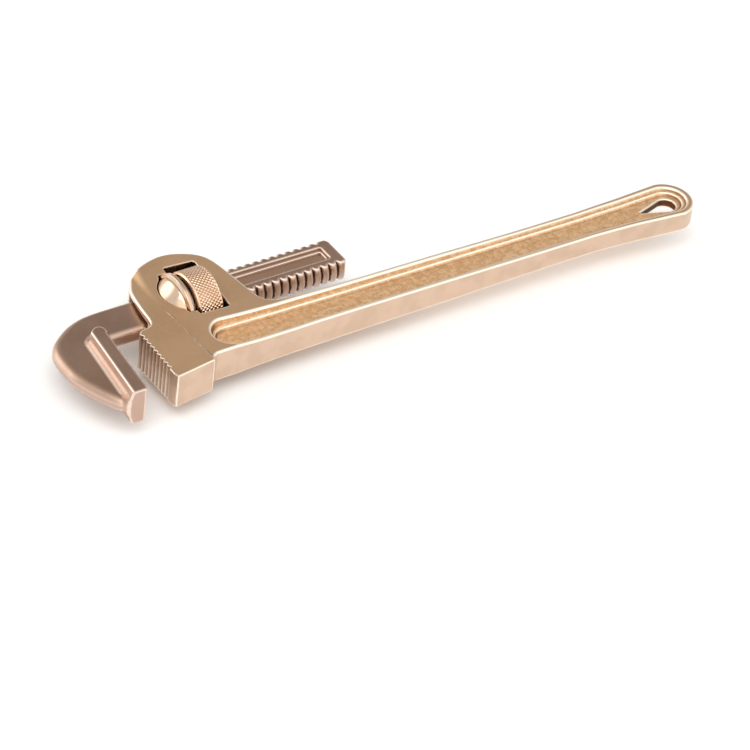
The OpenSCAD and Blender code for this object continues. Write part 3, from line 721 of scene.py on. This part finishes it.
# ---------------------------------------------------------------- knurled nut
def build_nut():
    x0, w, R, bore = 43.3, 16.0, 19.4, 13.2
    n = 52 * 12
    th = np.linspace(0, 2 * math.pi, n, endpoint=False)
    prof = []  # x, r, kind: 0 plain, 1 knurl, 2 bore
    for k in range(4):
        prof.append((x0, bore + 0.5 + (R - 1.1 - bore - 0.5) * k / 4, 0))
    prof += [(x0, R - 1.1, 0), (x0 + 0.12, R - 0.92, 0), (x0 + 0.45, R - 0.5, 0), (x0 + 0.8, R - 0.12, 0)]
    for k in range(73):
        prof.append((x0 + 1.0 + (w - 2.0) * k / 72, R, 1))
    prof += [(x0 + w - 0.8, R - 0.12, 0), (x0 + w - 0.45, R - 0.5, 0), (x0 + w - 0.12, R - 0.92, 0), (x0 + w, R - 1.1, 0)]
    for k in range(1, 4):
        prof.append((x0 + w, R - 1.1 - (R - 1.1 - bore - 0.5) * k / 4, 0))
    prof += [(x0 + w, bore + 0.5, 0), (x0 + w - 0.5, bore, 2)]
    for k in range(1, 58):
        prof.append((x0 + w - 0.5 - (w - 1.0) * k / 58, bore, 2))
    prof += [(x0 + 0.5, bore, 2), (x0 + 0.05, bore + 0.45, 0)]
    pr = np.array(prof)
    X = np.repeat(pr[:, 0][:, None], n, 1)
    Rr = np.repeat(pr[:, 1][:, None], n, 1)
    kind = pr[:, 2][:, None]
    TH = th[None, :]
    # diamond knurl: two sets of V grooves that cross
    px = 2.6
    a = 52 * TH / (2 * math.pi) + (X - x0) / px
    b = 52 * TH / (2 * math.pi) - (X - x0) / px
    G = lambda q: np.clip(1 - np.abs(q - np.round(q)) * 2 / 0.62, 0, 1)
    fade = step(X, x0 + 1.0, x0 + 1.7) * (1 - step(X, x0 + w - 1.7, x0 + w - 1.0))
    kn = np.maximum(G(a), G(b)) * 0.75 + np.minimum(G(a), G(b)) * 0.25
    pit = np.where(kind == 1, kn * fade, 0)
    Rr = Rr - 0.55 * pit
    # internal thread
    cx = 23.2 + 5 * PITCH
    ph = (X - cx) / PITCH - TH / (2 * math.pi)
    u = np.abs(ph - np.round(ph)) * PITCH
    hb, ht = 0.95, 0.15
    ridge = 1.6 * np.clip((hb - u) / (hb - ht), 0, 1)
    ends = step(X, x0 + 0.6, x0 + 2.0) * (1 - step(X, x0 + w - 2.0, x0 + w - 0.6))
    Rr = Rr - np.where(kind == 2, ridge * ends, 0)
    m = len(prof)
    V = np.stack([X, Rr * np.cos(TH), Rr * np.sin(TH)], 2).reshape(-1, 3)
    i = np.arange(m)[:, None]
    j = np.arange(n)[None, :]
    i2, j2 = (i + 1) % m, (j + 1) % n
    q = np.stack([i * n + j, i * n + j2, i2 * n + j2, i2 * n + j], 2).reshape(-1, 4)
    q = q[:, ::-1]
    print("nut tris", 2 * len(q))
    ob = make_object("knurled_nut", V, q, "nut", ["adjusting_nut"], [MAT_NUT], None, {"pit": pit.ravel()})
    sharp_by_angle(ob.data, 50)
    return ob


def sharp_by_angle(me, deg):
    me.calc_loop_triangles()
    import bmesh
    bm = bmesh.new()
    bm.from_mesh(me)
    lim = math.radians(deg)
    for e in bm.edges:
        if len(e.link_faces) == 2:
            e.smooth = e.calc_face_angle(0) < lim
    bm.to_mesh(me)
    bm.free()


# ---------------------------------------------------------------- domed cap
def build_cap():
    n = 480
    th = np.linspace(0, 2 * math.pi, n, endpoint=False)
    # keyed passage for the shank, as a radius by angle
    hole = np.minimum(13.4, 7.1 / np.maximum(np.abs(np.sin(th)), 1e-6))
    sx = lambda r: 47 - math.sqrt(20.8 ** 2 - r * r)
    V, tag = [], []

    def ring(xf, rf, e=0.0):
        r = np.array([rf(h) for h in hole])
        x = np.array([xf(q) for q in r])
        V.append(np.stack([x, r * np.cos(th), r * np.sin(th)], 1))
        tag.append(np.full(n, e))
    X1 = 36.8
    # wall of the passage, then the dome, the foot, the rim and the spring pocket
    ring(lambda r: X1, lambda h: h)
    ring(lambda r: 34.2, lambda h: h)
    ring(lambda r: sx(r) + 0.35, lambda h: h)
    ring(lambda r: sx(r) + 0.08, lambda h: h + 0.12)
    for k in range(1, 41):
        t = k / 40
        ring(sx, lambda h, t=t: h + 0.45 + (17.5 - h - 0.45) * t)
    # third value of each point: an edge tag; the negative ones, in the groove at the dome's foot and the pocket's
    # corner, get painted shade in the cap material
    prof = [(36.25, 17.66, -0.1), (36.45, 17.72, -0.3), (36.62, 17.86, -0.3), (36.72, 18.1, -0.1), (36.82, 18.5, 0), (37.0, 19.0, 0), (37.2, 19.5, 0), (37.33, 19.83, 0.1), (37.45, 20.02, 0.3), (37.62, 20.14, 0.3), (37.85, 20.18, 0.1),
            (38.2, 20.19, 0), (38.9, 20.19, 0), (39.3, 20.18, 0.1), (39.5, 20.13, 0.2), (39.66, 20.02, 0.3), (39.75, 19.86, 0.3), (39.78, 19.6, 0.1), (39.79, 19.2, 0), (39.79, 17.4, 0), (39.77, 17.15, 0.2), (39.6, 16.98, 0.2), (39.3, 16.93, 0), (37.3, 16.93, 0), (36.95, 16.85, -0.2), (36.8, 16.5, -0.2), (36.8, 15.8, 0)]
    for x, r, e in prof:
        ring(lambda q, x=x: x, lambda h, r=r: r, e)
    ring(lambda q: X1, lambda h: 0.5 * (h + 15.8))
    V = np.concatenate(V)
    m = len(tag)
    i = np.arange(m)[:, None]
    j = np.arange(n)[None, :]
    i2, j2 = (i + 1) % m, (j + 1) % n
    q = np.stack([i * n + j, i * n + j2, i2 * n + j2, i2 * n + j], 2).reshape(-1, 4)
    print("cap tris", 2 * len(q))
    ob = make_object("domed_cap", V, q, "rocker", ["spring_cap"], [MAT_CAP], None, {"edge": np.concatenate(tag)})
    recalc(ob)
    sharp_by_angle(ob.data, 50)


def recalc(ob):
    import bmesh
    bm = bmesh.new()
    bm.from_mesh(ob.data)
    bmesh.ops.recalc_face_normals(bm, faces=bm.faces[:])
    bm.to_mesh(ob.data)
    bm.free()


# ---------------------------------------------------------------- springs and rivet
def tube(name, path, frames, ring, body, node, mat):
    """Sweep a closed ring of (a, b) offsets along path with its two frame vectors."""
    n, m = len(path), len(ring)
    V = np.concatenate([path[i] + ring[:, :1] * frames[i][0] + ring[:, 1:] * frames[i][1] for i in range(n)])
    i = np.arange(n - 1)[:, None]
    j = np.arange(m)[None, :]
    j2 = (j + 1) % m
    q = np.stack([i * m + j, i * m + j2, (i + 1) * m + j2, (i + 1) * m + j], 2).reshape(-1, 4)
    c0, c1 = len(V), len(V) + 1
    V = np.concatenate([V, [path[0]], [path[-1]]])
    tri = np.array([[c0, (k + 1) % m, k] for k in range(m)] + [[c1, (n - 1) * m + k, (n - 1) * m + (k + 1) % m] for k in range(m)])
    q = np.concatenate([q[:, [0, 1, 2]], q[:, [0, 2, 3]], tri])
    ob = make_object(name, V, q, body, [node], [mat], None, {"edge": np.zeros(len(V))})
    import bmesh
    bm = bmesh.new(); bm.from_mesh(ob.data)
    bmesh.ops.recalc_face_normals(bm, faces=bm.faces[:])
    bm.to_mesh(ob.data); bm.free()
    sharp_by_angle(ob.data, 45)
    return ob


def build_springs():
    wire, r, turns, steps = 1.6, 15.7, 2.75, 280
    x0, x1 = 36.8 + 0.82, 43.3 - 1.1
    path, frames = [], []
    for k in range(steps + 1):
        u = k / steps
        t = u * turns * 2 * math.pi
        e = 0.2
        f = 0.05 * u / e if u < e else (1 - 0.05 * (1 - u) / e if u > 1 - e else 0.05 + 0.9 * (u - e) / (1 - 2 * e))
        path.append(np.array([x0 + (x1 - x0) * f, r * math.cos(t), r * math.sin(t)]))
        frames.append((np.array([1.0, 0, 0]), np.array([0, math.cos(t), math.sin(t)])))
    a = np.linspace(0, 2 * math.pi, 20, endpoint=False)
    ring = np.stack([np.cos(a), np.sin(a)], 1) * wire / 2
    tube("cap_coil_spring", path, frames, ring, "rocker", "coil_spring", MAT_SPRING)
    line = np.array(curve([(31.6, 17.06), (28.6, 17.06), (25.6, 17.06), (23.6, 16.75), (21.2, 15.3), (19.2, 13.9), (18.3, 13.66), (17.2, 14.2)], 12))
    d = unit(np.gradient(line, axis=0))
    nrm = np.stack([-d[:, 1], d[:, 0]], 1)
    path = [np.array([p[0], p[1], 0.0]) for p in line]
    frames = [(np.array([q[0], q[1], 0.0]), np.array([0, 0, 1.0])) for q in nrm]
    # strip section 0.75 x 10 mm with eased edges
    c, rr = (0.36, 4.98), 0.16
    ring = []
    for sx, sy, a0 in ((1, 1, 0), (-1, 1, 90), (-1, -1, 180), (1, -1, 270)):
        for k in range(4):
            an = math.radians(a0 + 30 * k)
            ring.append((sx * (c[0] - rr) + rr * math.cos(an), sy * (c[1] - rr) + rr * math.sin(an)))
    leaf = tube("jaw_leaf_spring", path, frames, np.array(ring), "handle", "leaf_spring", MAT_SPRING)
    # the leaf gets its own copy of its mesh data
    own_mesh(leaf)


def build_rivet():
    # turned about the y direction: pan head under the leaf, shank, and an end peened flush with the loop
    n = 64
    yt = 27.84
    cx = 28.0
    prof = [(15.32, 0.0), (15.32, 1.5), (15.45, 2.2), (15.75, 2.46), (16.1, 2.48), (16.55, 2.42), (16.6, 1.5), (16.75, 1.47), (20, 1.47), (25, 1.47), (yt - 0.3, 1.47), (yt - 0.08, 1.44), (yt, 1.3), (yt + 0.03, 0.7), (yt + 0.04, 0.0)]
    V, q = [], []
    th = np.linspace(0, 2 * math.pi, n, endpoint=False)
    for y, r in prof[1:-1]:
        for t in th:
            V.append((cx + r * math.cos(t), y, r * math.sin(t)))
    m = len(prof) - 2
    for i in range(m - 1):
        for j in range(n):
            a, b = i * n + j, i * n + (j + 1) % n
            q += [(a, b, b + n), (a, b + n, a + n)]
    V += [(cx, prof[0][0], 0), (cx, prof[-1][0], 0)]
    for j in range(n):
        q += [(len(V) - 2, (j + 1) % n, j), (len(V) - 1, (m - 1) * n + j, (m - 1) * n + (j + 1) % n)]
    ob = make_object("leaf_spring_rivet", np.array(V), np.array(q), "handle", ["spring_rivet"], [MAT_CAP], None, {"edge": np.zeros(len(V))})
    import bmesh
    bm = bmesh.new(); bm.from_mesh(ob.data)
    bmesh.ops.recalc_face_normals(bm, faces=bm.faces[:])
    bm.to_mesh(ob.data); bm.free()
    sharp_by_angle(ob.data, 40)


build_frame()
build_jaw()
build_nut()
build_cap()
build_springs()
build_rivet()

# ---------------------------------------------------------------- stage, light, camera
me = bpy.data.meshes.new("floor")
s = 6.0
me.from_pydata([(-s, -s, -0.0002), (s, -s, -0.0002), (s, s, -0.0002), (-s, s, -0.0002)], [], [(0, 1, 2, 3)])
floor = bpy.data.objects.new("floor", me)
bpy.context.scene.collection.objects.link(floor)
fm = Nodes("floor_paper")
fm.feed(fm.bsdf.inputs["Base Color"], fm.mix(fm.ramp(fm.noise(3, 2, 0.5), 0.3, 0.7), (0.93, 0.93, 0.93, 1), (0.95, 0.95, 0.95, 1)))
fm.bsdf.inputs["Roughness"].default_value = 0.9
me.materials.append(fm.mat)

world = bpy.data.worlds.new("studio")
bpy.context.scene.world = world
world.use_nodes = True
wt = world.node_tree
bg = wt.nodes["Background"]
WCO = wt.nodes.new("ShaderNodeTexCoord").outputs["Generated"]


def lobe(direction, lo, hi, amount):
    """A soft patch of the studio walls, seen in the given direction."""
    d = np.array(direction, float)
    d /= np.linalg.norm(d)
    v = wt.nodes.new("ShaderNodeVectorMath")
    v.operation = "DOT_PRODUCT"
    wt.links.new(WCO, v.inputs[0])
    v.inputs[1].default_value = tuple(d)
    r = wt.nodes.new("ShaderNodeMapRange")
    r.interpolation_type = "SMOOTHSTEP"
    wt.links.new(v.outputs["Value"], r.inputs["Value"])
    r.inputs["From Min"].default_value = math.cos(math.radians(lo))
    r.inputs["From Max"].default_value = math.cos(math.radians(hi))
    r.inputs["To Max"].default_value = amount
    return r.outputs["Result"]


total = None
for args in (((0.46, 0.64, 0.62), 52, 16, -0.40), ((-0.50, -0.56, 0.60), 40, 10, 0.75), ((0.45, -0.62, 0.62), 44, 12, 0.45), ((-0.52, 0.76, 0.38), 32, 8, 1.5)):
    o = lobe(*args)
    if total is None:
        total = wt.nodes.new("ShaderNodeMath")
        total.operation = "ADD"
        total.inputs[0].default_value = 0.95
        wt.links.new(o, total.inputs[1])
    else:
        k = wt.nodes.new("ShaderNodeMath")
        k.operation = "ADD"
        wt.links.new(total.outputs[0], k.inputs[0])
        wt.links.new(o, k.inputs[1])
        total = k
bg.inputs[0].default_value = (1.0, 0.99, 0.975, 1)
wt.links.new(total.outputs[0], bg.inputs[1])


def area(name, loc, target, size, power, color=(1, 1, 1)):
    L = bpy.data.lights.new(name, "AREA")
    L.shape = "RECTANGLE"
    L.size, L.size_y = size
    L.energy = power
    L.color = color
    o = bpy.data.objects.new(name, L)
    from mathutils import Vector
    o.location = loc
    o.rotation_euler = (Vector(target) - Vector(loc)).to_track_quat("-Z", "Y").to_euler()
    bpy.context.scene.collection.objects.link(o)
    return o


area("key", (-0.7, -0.5, 1.5), (0.0, 0, 0), (1.3, 1.0), 7, (1, 0.985, 0.965))

cam_d = bpy.data.cameras.new("camera")
cam = bpy.data.objects.new("camera", cam_d)
cam.location = (-1.12803, -1.49223, 1.40341)
cam.rotation_euler = (0.904533, -0.096887, -0.576451)
cam_d.lens = 195.96
cam_d.sensor_width = 36
cam_d.clip_end = 50
cam_d.clip_start = 0.05
bpy.context.scene.collection.objects.link(cam)
bpy.context.scene.camera = cam
bpy.context.scene.view_settings.view_transform = "Standard"
bpy.context.scene.view_settings.look = "None"
